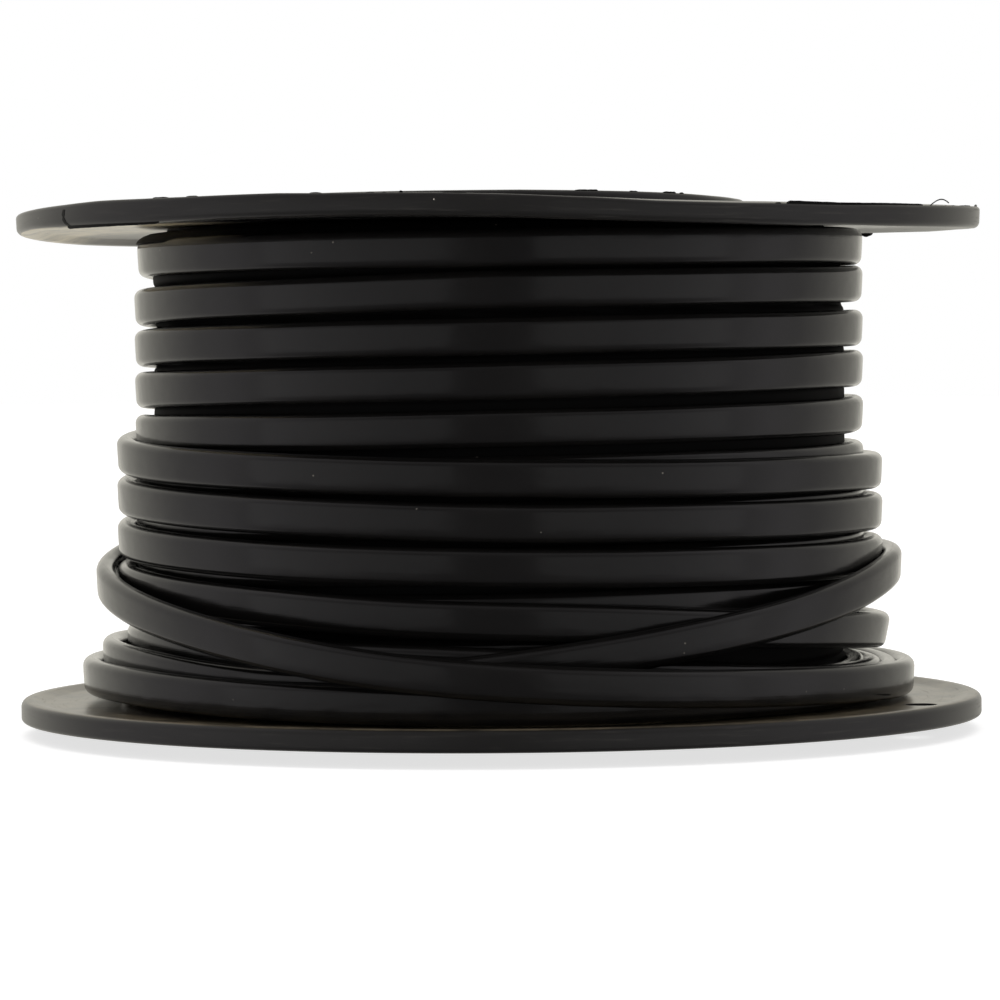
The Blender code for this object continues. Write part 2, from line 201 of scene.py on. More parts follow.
def flangeMaterial():
    # Moulded high-impact polystyrene: satin black, scuffed round the rim, dusty on the faces beside the cable; on the
    # upper face the dust attribute also paints light and shade, pale and thick at the lit left as painted light and
    # left off the front as painted shade
    mat, tree, shader = newMaterial("mouldedHipsFlange")
    place = addNode(tree, "UVMap", {"uv_map": "surface"}).outputs["UV"]
    body = addNode(tree, "TexCoord").outputs["Object"]
    dustAndPaintedLight = addNode(tree, "Attribute", {"attribute_name": "dust"}).outputs["Fac"]
    # handling scuffs run round the spool: about 12 mm long and 0.8 mm wide
    scuffScale = addNode(tree, "Mapping", {"Scale": (80.0, 1250.0, 1.0)}, {"Vector": place})
    scuffs = addNode(tree, "TexNoise", {"Scale": 1.0, "Detail": 4.0, "Roughness": 0.65},
                     {"Vector": scuffScale.outputs[0]})
    scuffMask = addNode(tree, "MapRange", {"From Min": 0.56, "From Max": 0.78}, {"Value": scuffs.outputs["Fac"]})
    # cloudy dust about 9 mm across, broken up at 1 mm
    clouds = addNode(tree, "TexNoise", {"Scale": 110.0, "Detail": 6.0, "Roughness": 0.62}, {"Vector": body})
    cloudMask = addNode(tree, "MapRange", {"From Min": 0.25, "From Max": 0.62}, {"Value": clouds.outputs["Fac"]})
    dustAndShadeFilm = addNode(tree, "Math", {"operation": "MULTIPLY", "use_clamp": True}, {0: cloudMask.outputs[0], 1: dustAndPaintedLight})
    # where the attribute goes past 1, at the left under the upper flange, the dust turns paler: painted light over real
    # dust
    thick = addNode(tree, "MapRange", {"From Min": 1.0, "From Max": 2.0}, {"Value": dustAndPaintedLight})
    patchy = addNode(tree, "Math", {"operation": "MULTIPLY"}, {0: thick.outputs[0], 1: cloudMask.outputs[0]})
    settled = addNode(tree, "Mix", {"data_type": "RGBA", 6: linearColor("#6e6452"), 7: linearColor("#cbbd9c")},
                      {0: patchy.outputs[0]})
    # fine moulded grain of 0.3 mm
    grain = addNode(tree, "TexNoise", {"Scale": 3300.0, "Detail": 1.0}, {"Vector": body})
    scuffed = addNode(tree, "Mix", {"data_type": "RGBA", 6: linearColor("#1a1918"), 7: linearColor("#302e2b")},
                      {0: scuffMask.outputs[0]})
    dusty = addNode(tree, "Mix", {"data_type": "RGBA"},
                    {0: dustAndShadeFilm.outputs[0], 6: scuffed.outputs[2], 7: settled.outputs[2]})
    grains = dustGrains(tree, body, 0.9)
    flecked = addNode(tree, "Mix", {"data_type": "RGBA", 7: linearColor("#a39e94")},
                      {0: grains.outputs[0], 6: dusty.outputs[2]})
    # the front of the upper face (attribute below nothing), kept free of dust as painted shade, stays glossy
    worn = addNode(tree, "MapRange", {"To Min": 0.29, "To Max": 0.42}, {"Value": scuffMask.outputs[0]})
    clean = addNode(tree, "Math", {"operation": "MINIMUM", 1: 0.0}, {0: dustAndPaintedLight})
    gloss = addNode(tree, "Math", {"operation": "MULTIPLY_ADD", 1: 0.17}, {0: clean.outputs[0], 2: worn.outputs[0]})
    grainBump = addNode(tree, "Bump", {"Strength": 0.2, "Distance": 0.00003}, {"Height": grain.outputs["Fac"]})
    scuffBump = addNode(tree, "Bump", {"Strength": 0.3, "Distance": 0.00005},
                        {"Height": scuffs.outputs["Fac"], "Normal": grainBump.outputs[0]})
    shader.inputs["IOR"].default_value = 1.51
    tree.links.new(flecked.outputs[2], shader.inputs["Base Color"])
    tree.links.new(gloss.outputs[0], shader.inputs["Roughness"])
    tree.links.new(scuffBump.outputs[0], shader.inputs["Normal"])
    return mat


def barrelMaterial():
    # Extruded polystyrene tube: dull black with draw lines 1.5 mm apart along its axis
    mat, tree, shader = newMaterial("extrudedHipsBarrel")
    body = addNode(tree, "TexCoord").outputs["Object"]
    drawScale = addNode(tree, "Mapping", {"Scale": (660.0, 660.0, 12.0)}, {"Vector": body})
    lines = addNode(tree, "TexNoise", {"Scale": 1.0, "Detail": 3.0}, {"Vector": drawScale.outputs[0]})
    tone = addNode(tree, "Mix", {"data_type": "RGBA", 6: linearColor("#141414"), 7: linearColor("#242424")},
                   {0: lines.outputs["Fac"]})
    gloss = addNode(tree, "MapRange", {"To Min": 0.4, "To Max": 0.6}, {"Value": lines.outputs["Fac"]})
    bump = addNode(tree, "Bump", {"Strength": 0.3, "Distance": 0.00006}, {"Height": lines.outputs["Fac"]})
    tree.links.new(tone.outputs[2], shader.inputs["Base Color"])
    tree.links.new(gloss.outputs[0], shader.inputs["Roughness"])
    tree.links.new(bump.outputs[0], shader.inputs["Normal"])
    return mat


def coreMaterial(name, dark, light, shine=0.5):
    # Extruded PVC insulation: satin, its colour clouded over about 2 mm
    mat, tree, shader = newMaterial(name)
    body = addNode(tree, "TexCoord").outputs["Object"]
    clouds = addNode(tree, "TexNoise", {"Scale": 500.0, "Detail": 3.0}, {"Vector": body})
    tone = addNode(tree, "Mix", {"data_type": "RGBA", 6: linearColor(dark), 7: linearColor(light)},
                   {0: clouds.outputs["Fac"]})
    bump = addNode(tree, "Bump", {"Strength": 0.2, "Distance": 0.00004}, {"Height": clouds.outputs["Fac"]})
    shader.inputs["Roughness"].default_value = 0.38
    shader.inputs["Specular IOR Level"].default_value = shine
    tree.links.new(tone.outputs[2], shader.inputs["Base Color"])
    tree.links.new(bump.outputs[0], shader.inputs["Normal"])
    return mat


def copperMaterial():
    # Drawn copper wire: bright where cut, dulled brown in patches of 0.6 mm
    mat, tree, shader = newMaterial("drawnCopperStrand")
    body = addNode(tree, "TexCoord").outputs["Object"]
    patches = addNode(tree, "TexNoise", {"Scale": 1600.0, "Detail": 3.0}, {"Vector": body})
    tone = addNode(tree, "Mix", {"data_type": "RGBA", 6: linearColor("#d98a62"), 7: linearColor("#8a4c30")},
                   {0: patches.outputs["Fac"]})
    gloss = addNode(tree, "MapRange", {"To Min": 0.2, "To Max": 0.45}, {"Value": patches.outputs["Fac"]})
    shader.inputs["Metallic"].default_value = 1.0
    tree.links.new(tone.outputs[2], shader.inputs["Base Color"])
    tree.links.new(gloss.outputs[0], shader.inputs["Roughness"])
    return mat


sheathPvc = sheathMaterial("extrudedPvcSheath", 0.15, 0.22, "#0c0b0b", "#131211", 0.5)
# the same sheath made darker and duller for the inner layers: painted shade for the deep gaps between the outer turns
innerPvcShaded = sheathMaterial("extrudedPvcSheathShaded", 0.6, 0.75, "#070707", "#0b0a0a", 0.1)
flangeHips = flangeMaterial()
barrelHips = barrelMaterial()
corePvc = {"red": coreMaterial("extrudedRedPvcCore", "#8f1414", "#b02020"),
           "black": coreMaterial("extrudedBlackPvcCore", "#151414", "#222120")}
copperStrand = copperMaterial()
# near-black, darker than the flange plastic the flash is moulded from: painted shade on the thin strips
flashHipsShaded = coreMaterial("mouldedHipsFlashShaded", "#050505", "#0b0a0a", 0.1)
print("materials made")


flangeShape = {
    "radius": 0.1, "rimThickness": 0.0045, "rimWidth": 0.004, "rimRound": 0.0014, "rimRoundOut": 0.0008, "lip": 0.0009, "recess": 0.0006,
    "slopeFrom": 0.0943, "slopeTo": 0.0974, "dustAndLightTo": -42.0, "dustAndLightOver": 8.0,
    "plateRadius": 0.0515, "plateRise": 0.0027, "plateRound": 0.0012, "plateWall": 0.0045,
    "hubRadius": 0.019, "hubDepth": 0.0092, "bore": 0.013, "chamfer": 0.0008,
    "spigotRadius": 0.0487, "spigotWall": 0.0026, "spigotHeight": 0.005,
    "holeRadius": 0.00325, "holeReach": 0.0906, "holeAngle": -19.8,
    "sides": 288, "edgeRound": 0.0003, "step": 0.0025,
    "saddle": 0.00127, "saddleAngle": 54.8, "tilt": 0.00021, "warpFrom": 0.078,
}
# how far the upper rim hangs down: degrees right of the front, upper and lower edge in millimetres
rimSag = np.array([
    (-180, 0.1, 0.1), (-140, 0.2, 0.3), (-115, 0.4, 0.3), (-95, 0.4, 0.0), (-72, 0.5, 0.0), (-60, 0.44, 0.45), (-52, 0.25, 0.65), (-44, 0.4, 0.8),
    (-37, 0.4, 0.6), (-31, 0.25, 0.4), (-25, 0.1, 0.25), (-20, 0.2, 0.1), (-15, 0.13, 0.0), (-7, 0.05, 0.0),
    (-3, 0.1, 0.05), (2, 0.2, 0.1), (7, 0.43, 0.3), (11, 0.55, 0.36), (15, 0.8, 0.4), (18, 0.95, 0.42),
    (23, 0.97, 0.48), (28, 0.95, 0.5), (33, 0.8, 0.55), (37, 0.78, 0.5), (42, 0.75, 0.2), (50, 0.43, 0.2),
    (59, 0.26, 0.1), (71, 0.1, 0.0), (90, 0.0, 0.1), (100, 0.2, 0.3),
    (110, 0.4, 0.75), (125, 0.6, 0.95), (145, 0.4, 0.6), (180, 0.1, 0.1)])
# and the edge of the round plate on it
plateSag = np.array([
    (-180, 0.0), (-60, 0.1), (-10, 0.2), (5, 0.2), (30, 0.45), (45, 0.66), (60, 1.0), (75, 1.2), (95, 1.2), (180, 0.0)])


def facingOf(turn):
    # degrees right of the front for an angle round the axis
    return (np.degrees(turn) + 270.0) % 360.0 - 180.0


def roundedProfile(corners, step, arcSteps=5):
    # closed outline with each corner (r, z, round) turned into an arc, and straight runs cut into short steps
    at = np.array([c[:2] for c in corners])
    back, ahead = np.roll(at, 1, axis=0) - at, np.roll(at, -1, axis=0) - at
    back /= np.linalg.norm(back, axis=1)[:, None]
    ahead /= np.linalg.norm(ahead, axis=1)[:, None]
    half = np.arccos(np.clip((back * ahead).sum(1), -1, 1)) / 2
    outline = []
    for i, (r, z, radius) in enumerate(corners):
        if radius <= 0:
            outline.append(at[i][None])
            continue
        reach = radius / math.tan(half[i])
        middle = at[i] + (back[i] + ahead[i]) / np.linalg.norm(back[i] + ahead[i]) * radius / math.sin(half[i])
        first, last = at[i] + back[i] * reach - middle, at[i] + ahead[i] * reach - middle
        start = math.atan2(first[1], first[0])
        sweep = (math.atan2(last[1], last[0]) - start + math.pi) % (2 * math.pi) - math.pi
        turn = start + sweep * np.linspace(0, 1, arcSteps + 1)
        outline.append(middle + radius * np.stack([np.cos(turn), np.sin(turn)], axis=1))
    outline = np.concatenate(outline)
    run = np.linalg.norm(np.roll(outline, -1, axis=0) - outline, axis=1)
    pieces = np.maximum(1, np.ceil(run / step).astype(int))
    return np.concatenate([outline[i] + (outline[(i + 1) % len(outline)] - outline[i])
                           * np.arange(n)[:, None] / n for i, n in enumerate(pieces)])


def flangeProfile(shape):
    # outline through the flange from the bore over the plate, round the rim and back along the winding side
    rise, rimTop, edge = shape["plateRise"], shape["plateRise"] + shape["rimThickness"], shape["edgeRound"]
    webTop = rimTop - shape["lip"]
    inside = shape["spigotRadius"] - shape["spigotWall"]
    spigotTop = webTop + shape["spigotHeight"]
    rimInside = shape["radius"] - shape["rimWidth"]
    return roundedProfile([
        (shape["bore"], shape["chamfer"], edge), (shape["bore"] + shape["chamfer"], 0.0, edge),
        (shape["plateRadius"], 0.0, shape["plateRound"]), (shape["plateRadius"], rise + shape["recess"], edge),
        (rimInside - shape["recess"], rise + shape["recess"], edge), (rimInside, rise, edge),
        (shape["radius"], rise, shape["rimRoundOut"]), (shape["radius"], rimTop, shape["rimRound"]),
        (shape["slopeTo"], rimTop, 0.002), (shape["slopeFrom"], webTop, 0.003),
        (shape["spigotRadius"], webTop, edge), (shape["spigotRadius"], spigotTop, shape["chamfer"]),
        (inside, spigotTop, edge), (inside, shape["plateWall"], edge),
        (shape["hubRadius"], shape["plateWall"], edge), (shape["hubRadius"], shape["hubDepth"], edge),
        (shape["bore"], shape["hubDepth"], edge)], shape["step"])


def saddleBend(turn, shape):
    # rise of the upper rim: the cosine of twice the angle, and a small tilt to one side
    return shape["saddle"] * np.cos(2 * (turn - math.radians(shape["saddleAngle"]))) + shape["tilt"] * np.cos(turn)


def addFlange(name, upper, shape, replaced):
    # the outline turned round the axis; the upper flange is mirrored and its rim bent into a shallow saddle:
    # the rise goes with the square of the way out to the rim, and the section leans with the slope of the rise
    profile = flangeProfile(shape)
    run = np.concatenate([[0.0], np.cumsum(np.linalg.norm(np.diff(profile, axis=0), axis=1))])
    webTop = shape["plateRise"] + shape["rimThickness"] - shape["lip"]
    faceside = (profile[:, 1] > webTop - 0.0002) & (profile[:, 0] > shape["spigotRadius"])
    faceside &= profile[:, 0] < shape["radius"] - 0.0006
    if upper:
        profile = np.stack([profile[:, 0], solidsBox[1][2] - profile[:, 1]], axis=1)[::-1]
        run, faceside = run[::-1], faceside[::-1]
    turn = np.arange(shape["sides"]) * 2 * math.pi / shape["sides"]
    radius = np.tile(profile[:, 0], (shape["sides"], 1))
    height = np.tile(profile[:, 1], (shape["sides"], 1))
    angle = np.tile(turn[:, None], (1, len(profile)))
    if upper:
        reach = shape["radius"] - shape["warpFrom"]
        out = np.clip((radius - shape["warpFrom"]) / reach, 0, 1)
        bend = saddleBend(angle, shape)
        middle = solidsBox[1][2] - shape["plateRise"] - shape["rimThickness"] / 2
        share = np.clip((height - middle) / shape["rimThickness"] + 0.5, 0, 1)
        upperSag, lowerSag = (np.interp(facingOf(angle), rimSag[:, 0], rimSag[:, k]) for k in (1, 2))
        sag = 0.001 * (lowerSag + (upperSag - lowerSag) * share)
        onPlate = (radius <= shape["plateRadius"] + 1e-6) & (height > middle + shape["rimThickness"] / 2 - shape["recess"])
        sink = 0.001 * np.interp(facingOf(angle), plateSag[:, 0], plateSag[:, 1]) * radius / shape["plateRadius"]
        radius = radius - 2 * out / reach * bend * (height - middle)
        height = height + out ** 2 * (bend - sag) - np.where(onPlate, sink, 0.0)
    points = np.stack([radius * np.cos(angle), radius * np.sin(angle), height], axis=-1)
    uv = np.stack([angle * shape["radius"], np.tile(run, (shape["sides"], 1))], axis=-1)
    faces = gridFaces(*points.shape[:2], True, True)
    obj = addSurface(name, points, faces.tolist(), flangeHips, uv)
    # dust lies all over the lower face; under the upper one it is thick at the left, real dust made paler as painted
    # light, and the front is left clean and dark as painted shade
    facing = facingOf(turn)
    left = np.clip((shape["dustAndLightTo"] - facing) / shape["dustAndLightOver"], 0, 2) * np.clip((facing + 125.0) / 20.0, 0, 1)
    front = np.clip((facing + 46.0) / 8.0, 0, 1) * np.clip((60.0 - facing) / 25.0, 0, 1)
    dustAndPaintedLightAmount = left - front if upper else np.ones(len(turn))
    dust = obj.data.attributes.new("dust", "FLOAT", "POINT")
    dust.data.foreach_set("value", (dustAndPaintedLightAmount[:, None] * faceside[None]).astype(np.float32).ravel())
    # lead-out hole, cut square through the face near the rim
    around = np.arange(48) * 2 * math.pi / 48
    toHole = math.radians(shape["holeAngle"])
    ring = np.stack([shape["holeReach"] * math.cos(toHole) + shape["holeRadius"] * np.cos(around),
                     shape["holeReach"] * math.sin(toHole) + shape["holeRadius"] * np.sin(around)], axis=1)
    level = solidsBox[1][2] - 0.02 if upper else -0.01
    drill = np.stack([np.column_stack([ring, np.full(48, level + lift)]) for lift in (0.0, 0.03)])
    drillFaces = gridFaces(48, 2, True).tolist()
    drillPoints = drill.transpose(1, 0, 2).reshape(-1, 3)
    caps = [list(range(0, 96, 2))[::-1], list(range(1, 96, 2))]
    cutter = addSurface(name + "Drill", drillPoints, drillFaces + caps, flangeHips)
    hole = obj.modifiers.new("leadHole", "BOOLEAN")
    hole.operation, hole.solver, hole.object = "DIFFERENCE", "EXACT", cutter
    bpy.context.view_layer.update()
    drilled = bpy.data.meshes.new_from_object(obj.evaluated_get(bpy.context.evaluated_depsgraph_get()))
    obj.modifiers.clear()
    obj.data = drilled
    drilled.set_sharp_from_angle(angle=math.radians(35))
    bpy.data.objects.remove(cutter, do_unlink=True)
    return settle(obj, "flange_plastic", replaced)


addFlange("flangeLower", False, flangeShape, "lower_flange")
addFlange("flangeUpper", True, flangeShape, "upper_flange")

# ragged moulding flash left on the upper rim and plate: edge, from and to in degrees right of the front, height at
# both in millimetres; a mould seam on the left and a fibre caught on the right
rimTrim = {"thick": 0.00012, "root": 0.0012, "step": 0.2, "ragged": 0.25,
           "inset": {"top": 0.0013, "upper": 0.0006, "lower": 0.0006, "plate": 0.0495}, "runs": [
    ("top", -42.6, -40.2, 0.14, 0.12), ("top", -37.4, -35.8, 0.14, 0.16), ("top", -21.2, -19.8, 0.15, 0.12),
    ("top", -14.6, -13.6, 0.18, 0.12), ("top", -12.8, -12.3, 0.12, 0.12), ("top", -10.9, -10.4, 0.45, 0.3),
    ("top", -6.2, -3.4, 0.14, 0.2), ("plate", 17.7, 23.3, 0.12, 0.22), ("plate", 31.4, 33.6, 0.14, 0.1),
    ("plate", 41.1, 45.2, 0.22, 0.22), ("plate", 46.5, 47.9, 0.18, 0.18), ("top", 28.0, 32.0, 0.1, 0.14),
    ("upper", 32.2, 33.2, 0.35, 0.25), ("upper", 33.8, 57.8, 0.66, 0.34), ("upper", 66.0, 67.4, 0.2, 0.15),
    # the lower run at the left, -59 to -41.3 degrees, is a near-black strip laid along the shadow line under the rim:
    # painted shadow
    ("upper", 69.4, 75.0, 0.16, 0.2), ("upper", 79.5, 83.5, 0.3, 0.4), ("lower", -59.0, -41.3, 0.4, 0.22),
    ("lower", 124.0, 127.2, 0.75, 0.6)],
    "seamAt": -59.0, "seamBow": 0.6, "seamWide": 0.0005, "fibre": (59.6, 65.2, 0.0013), "fibreRadius": 0.00013}


def rimPlace(facing, shape):
    # radial direction, and the bent rim's upper and lower level, at degrees right of the front
    turn = np.radians(np.asarray(facing) - 90.0)
    rise = solidsBox[1][2] - shape["plateRise"] + saddleBend(turn, shape)
    top = rise - 0.001 * np.interp(facing, rimSag[:, 0], rimSag[:, 1])
    bottom = rise - shape["rimThickness"] - 0.001 * np.interp(facing, rimSag[:, 0], rimSag[:, 2])
    return np.stack([np.cos(turn), np.sin(turn), 0 * turn], axis=-1), top, bottom


def addRimFlash(trim, shape):
    # thin upright strips rooted in an edge: the height goes straight from one end to the other, falls to
    # nothing at both ends and wanders along the tear
    points, faces, start = [], [], 0
    square = np.array([(1.0, -trim["thick"]), (1.0, trim["thick"]), (-1.0, trim["thick"]), (-1.0, -trim["thick"])])
    for edge, first, last, tall, low in trim["runs"]:
        facing = np.linspace(last, first, max(6, int((last - first) / trim["step"])))
        radial, top, bottom = rimPlace(facing, shape)
        if edge == "plate":
            top = solidsBox[1][2] - 0.001 * np.interp(facing, plateSag[:, 0], plateSag[:, 1])
        share = (facing - first) / (last - first)
        taper = np.sqrt(np.clip(np.minimum(facing - first, last - facing) / min(0.6, (last - first) / 2), 0, 1))
        tear = 1 + trim["ragged"] / max(1.0, (last - first) / 4) * wander(facing, (1.3, 2.3, 4.1), 5)
        height = 0.001 * (tall + (low - tall) * share) * taper * tear
        tip, foot = (bottom + trim["root"], bottom - height) if edge == "lower" else (top + height, top - trim["root"])
        path = radial * (shape["radius"] - trim["inset"][edge])
        path[:, 2] = (tip + foot) / 2
        rise = np.zeros_like(path)
        rise[:, 2] = (tip - foot) / 2
        rings, quads, _ = sweepGrid(path, rise, radial, square)
        points.append(rings.reshape(-1, 3))
        faces += [[corner + start for corner in face] for face in quads]
        start += len(points[-1])
    return settle(addSurface("rimFlash", np.concatenate(points), faces, flashHipsShaded), "flange_plastic")


def addSeam(trim, shape):
    # a thin dark line down the rim's face, bowed like a C and rounded over with the rim's edges
    down = np.linspace(0, 1, 25)
    facing = trim["seamAt"] - trim["seamBow"] * np.sin(math.pi * down) + trim["seamBow"] * down ** 3
    radial, top, bottom = rimPlace(facing, shape)
    over = np.clip(np.abs(2 * down - 1) * shape["rimThickness"] / 2 - shape["rimThickness"] / 2 + shape["rimRound"],
                   0, shape["rimRound"])
    sunk = shape["rimRound"] - np.sqrt(shape["rimRound"] ** 2 - over ** 2)
    lean = 2 / (shape["radius"] - shape["warpFrom"]) * saddleBend(np.radians(facing - 90), shape)
    level = top + (bottom - top) * down
    reach = shape["radius"] - sunk - lean * (level - (top + bottom) / 2)
    path = radial * reach[:, None]
    path[:, 2] = level
    aside = np.cross(radial, np.array([0.0, 0.0, 1.0]))
    # it widens into a bead at its foot
    wide = trim["seamWide"] * (1 + 0.4 * wander(down, (0.21, 0.37), 3) + down ** 8)
    line = np.array([(1.0, -0.0002), (1.0, 0.00005), (-1.0, 0.00005), (-1.0, -0.0002)])
    seam = sweep("rimSeam", path, aside * wide[:, None], radial, line, flashHipsShaded)
    return settle(seam, "flange_plastic")


def addFibre(trim, shape):
    # a thread that bows up from the rim like a sine, with its right end free
    first, last, rise = trim["fibre"]
    share = np.linspace(0, 1, 24)
    radial, top, bottom = rimPlace(last + (first - last) * share, shape)
    path = radial * (shape["radius"] - trim["inset"]["upper"])
    path[:, 2] = top + rise * np.sin(math.pi * (0.16 + 0.84 * share))
    around = np.arange(6) * math.pi / 3
    circle = trim["fibreRadius"] * np.stack([np.cos(around), np.sin(around)], axis=1)
    upward = np.tile([0.0, 0.0, 1.0], (24, 1))
    return settle(sweep("rimFibre", path, upward, radial, circle, flashHipsShaded), "flange_plastic")


addRimFlash(rimTrim, flangeShape)
addSeam(rimTrim, flangeShape)
addFibre(rimTrim, flangeShape)
nodes["barrel"].data.materials.clear()
nodes["barrel"].data.materials.append(barrelHips)
print("flanges turned")


cableShape = {"width": 0.0075, "thickness": 0.00374, "round": 0.0017, "bulge": 0.00006, "arcSteps": 6}
windingLay = {
    "radius": 0.0738, "layerStep": 0.0039, "lowest": 0.0104, "highest": 0.1005, "turns": 10, "layerEnd": 0.153,
    "frontDrop": 0.293, "returnPitch": 1.1133, "returnLag": 0.1677, "riser": 120.0,
    "step": 3.0, "blur": 2.0, "shake": 0.00010, "endLength": 0.0123,
}
# turns at the foot: degrees clockwise from the right side, height above the lowest turn in cable widths, layer
footRoute = np.array([
    (0, 0.153, 0.0), (30, 0.06, 0.0), (60, 0.0, 0.0), (75, 0.0, 0.0), (90, 0.0, 0.24), (105, 0.0, 0.5),
    (120, 0.0, 0.76), (135, 0.0, 1.0), (180, 0.0, 1.0), (270, 0.035, 1.0), (330, 0.06, 1.0), (360, 0.06, 1.0),
    (390, 0.15, 1.0), (405, 0.28, 1.0), (420, 0.48, 1.0), (435, 0.74, 1.0), (450, 0.97, 1.0), (465, 1.06, 1.0),
    (495, 1.1, 1.0), (540, 1.153, 1.0),
    (630, 1.22, 1.0), (720, 1.287, 1.0), (765, 1.69, 1.0), (795, 2.03, 1.0), (810, 2.125, 1.0),
    (825, 2.215, 1.0), (855, 2.53, 1.0), (878, 2.75, 1.0), (900, 2.85, 1.0), (945, 3.14, 1.0),
    (990, 3.42, 1.0), (1035, 3.53, 1.0), (1080, 3.553, 1.0)])
# loose last loops, in the same measures
looseRoute = np.array([
    (180, 6.337, 1.0), (195, 6.487, 1.0), (210, 6.6, 1.43), (225, 6.65, 1.86), (240, 6.49, 2.0),
    (255, 5.98, 2.7), (270, 5.27, 3.0), (285, 4.51, 3.0), (300, 3.91, 3.0), (315, 3.54, 2.7),
    (330, 3.33, 2.2), (345, 3.23, 2.0), (360, 3.19, 2.0), (375, 3.02, 2.0), (390, 2.57, 2.0),
    (405, 2.07, 2.0), (420, 1.647, 2.0), (435, 1.22, 2.0), (450, 0.847, 2.0), (465, 0.54, 2.0),
    (480, 0.38, 2.0), (495, 0.487, 2.0), (510, 0.673, 2.0), (525, 0.767, 2.0), (540, 0.793, 2.0),
    (570, 0.74, 2.0), (600, 0.607, 2.0), (630, 0.447, 2.0), (660, 0.26, 2.0), (690, 0.1, 2.0),
    (720, 0.033, 2.0), (765, 0.02, 2.0), (780, 0.02, 2.45), (795, 0.02, 3.0), (810, 0.02, 3.0),
    (825, 0.027, 3.0), (840, 0.06, 3.0), (855, 0.14, 3.0), (870, 0.22, 3.0), (885, 0.247, 3.0),
    (900, 0.247, 3.0), (930, 0.207, 3.0), (990, 0.127, 3.0), (1050, 0.06, 3.0), (1080, 0.047, 3.0),
    (1095, 0.073, 3.0), (1110, 0.127, 3.0), (1125, 0.233, 3.0), (1140, 0.353, 3.45), (1155, 0.473, 4.0),
    (1170, 0.647, 4.0), (1185, 0.927, 4.0), (1200, 1.367, 3.6), (1215, 1.807, 2.85), (1230, 2.233, 2.3),
    (1245, 2.607, 2.0), (1260, 2.9, 2.0), (1275, 3.273, 2.0), (1290, 3.647, 2.0), (1305, 3.993, 2.0),
    (1320, 4.287, 2.0), (1335, 4.527, 2.0), (1350, 4.713, 2.0), (1365, 4.847, 2.0), (1380, 4.927, 2.0),
    (1395, 4.98, 2.0)])

# how the turns settled: place along the winding in degrees, lift in millimetres
settledLift = np.array([
    (0, -0.6), (90, -0.5), (180, 0.25), (360, 0.55), (450, 0.3), (540, -0.95), (720, 0.3), (810, 0.3), (900, -0.4),
    (1080, 0.9), (1170, 0.5), (1260, -0.3), (1440, 0.4), (1530, 0.0), (1620, -0.15), (1800, 0.0), (4500, 0.0),
    (4680, -0.8), (4770, -1.05), (4860, -0.5), (5040, -0.4), (5130, -0.6), (5220, 0.0), (5400, -0.3), (5490, -0.25),
    (5580, 0.0)])
# where they bulge out or press in, in layers
settledBulge = np.array([
    (120, 0.0), (180, -0.2), (230, 0.0), (3165, 0.0), (3200, -1.1), (3325, -1.1), (3350, 0.0), (3890, 0.0), (3930, -0.1), (3990, -0.1), (4030, 0.0), (4085, 0.0),
    (4120, -0.4), (4140, -0.5), (4160, -0.4), (4200, 0.0), (4255, 0.0), (4300, 0.22), (4320, 0.28), (4345, 0.22),
    (4390, 0.0), (5880, 0.0), (5940, -0.16), (6000, 0.0), (6050, 0.0), (6090, -0.2), (6120, -0.24), (6150, -0.2),
    (6190, 0.0), (6250, 0.0), (6300, -0.1), (6350, 0.0), (6400, 0.0), (6450, -0.3), (6480, -0.36), (6510, -0.3),
    (6550, 0.0), (6610, 0.0), (6660, 0.18), (6710, 0.0)])
# and how far the upper edge leans out, in degrees
settledLean = np.array([
    (-200, 3.0), (4255, 3.0), (4300, 10.0), (4320, 12.0), (4345, 9.0), (4390, 3.0)])


def cableSection(shape):
    # rounded rectangle, counter-clockwise: four arcs, and broad faces that swell with one minus the place squared
    a, b, r = shape["width"] / 2, shape["thickness"] / 2, shape["round"]
    sweep = np.linspace(0, math.pi / 2, shape["arcSteps"] + 1)
    arcs = [np.stack([cx + r * np.cos(sweep + q), cy + r * np.sin(sweep + q)], axis=1)
            for cx, cy, q in ((a - r, b - r, 0), (r - a, b - r, math.pi / 2),
                              (r - a, r - b, math.pi), (a - r, r - b, 1.5 * math.pi))]
    face = np.linspace(a - r, r - a, 4)[1:-1]
    outline = np.concatenate([arcs[0], np.stack([face, np.full(2, b)], axis=1), arcs[1],
                              arcs[2], np.stack([-face, np.full(2, -b)], axis=1), arcs[3]])
    swell = np.clip(1 - (outline[:, 0] / a) ** 2, 0, 1) * shape["bulge"]
    return outline + np.stack([np.zeros(len(outline)), np.sign(outline[:, 1]) * swell], axis=1)


def blurred(values, width):
    # moving average with a bell-shaped weight, ends held
    reach = int(4 * width)
    weight = np.exp(-0.5 * (np.arange(-reach, reach + 1) / width) ** 2)
    return np.convolve(np.pad(values, reach, mode="edge"), weight / weight.sum(), mode="valid")


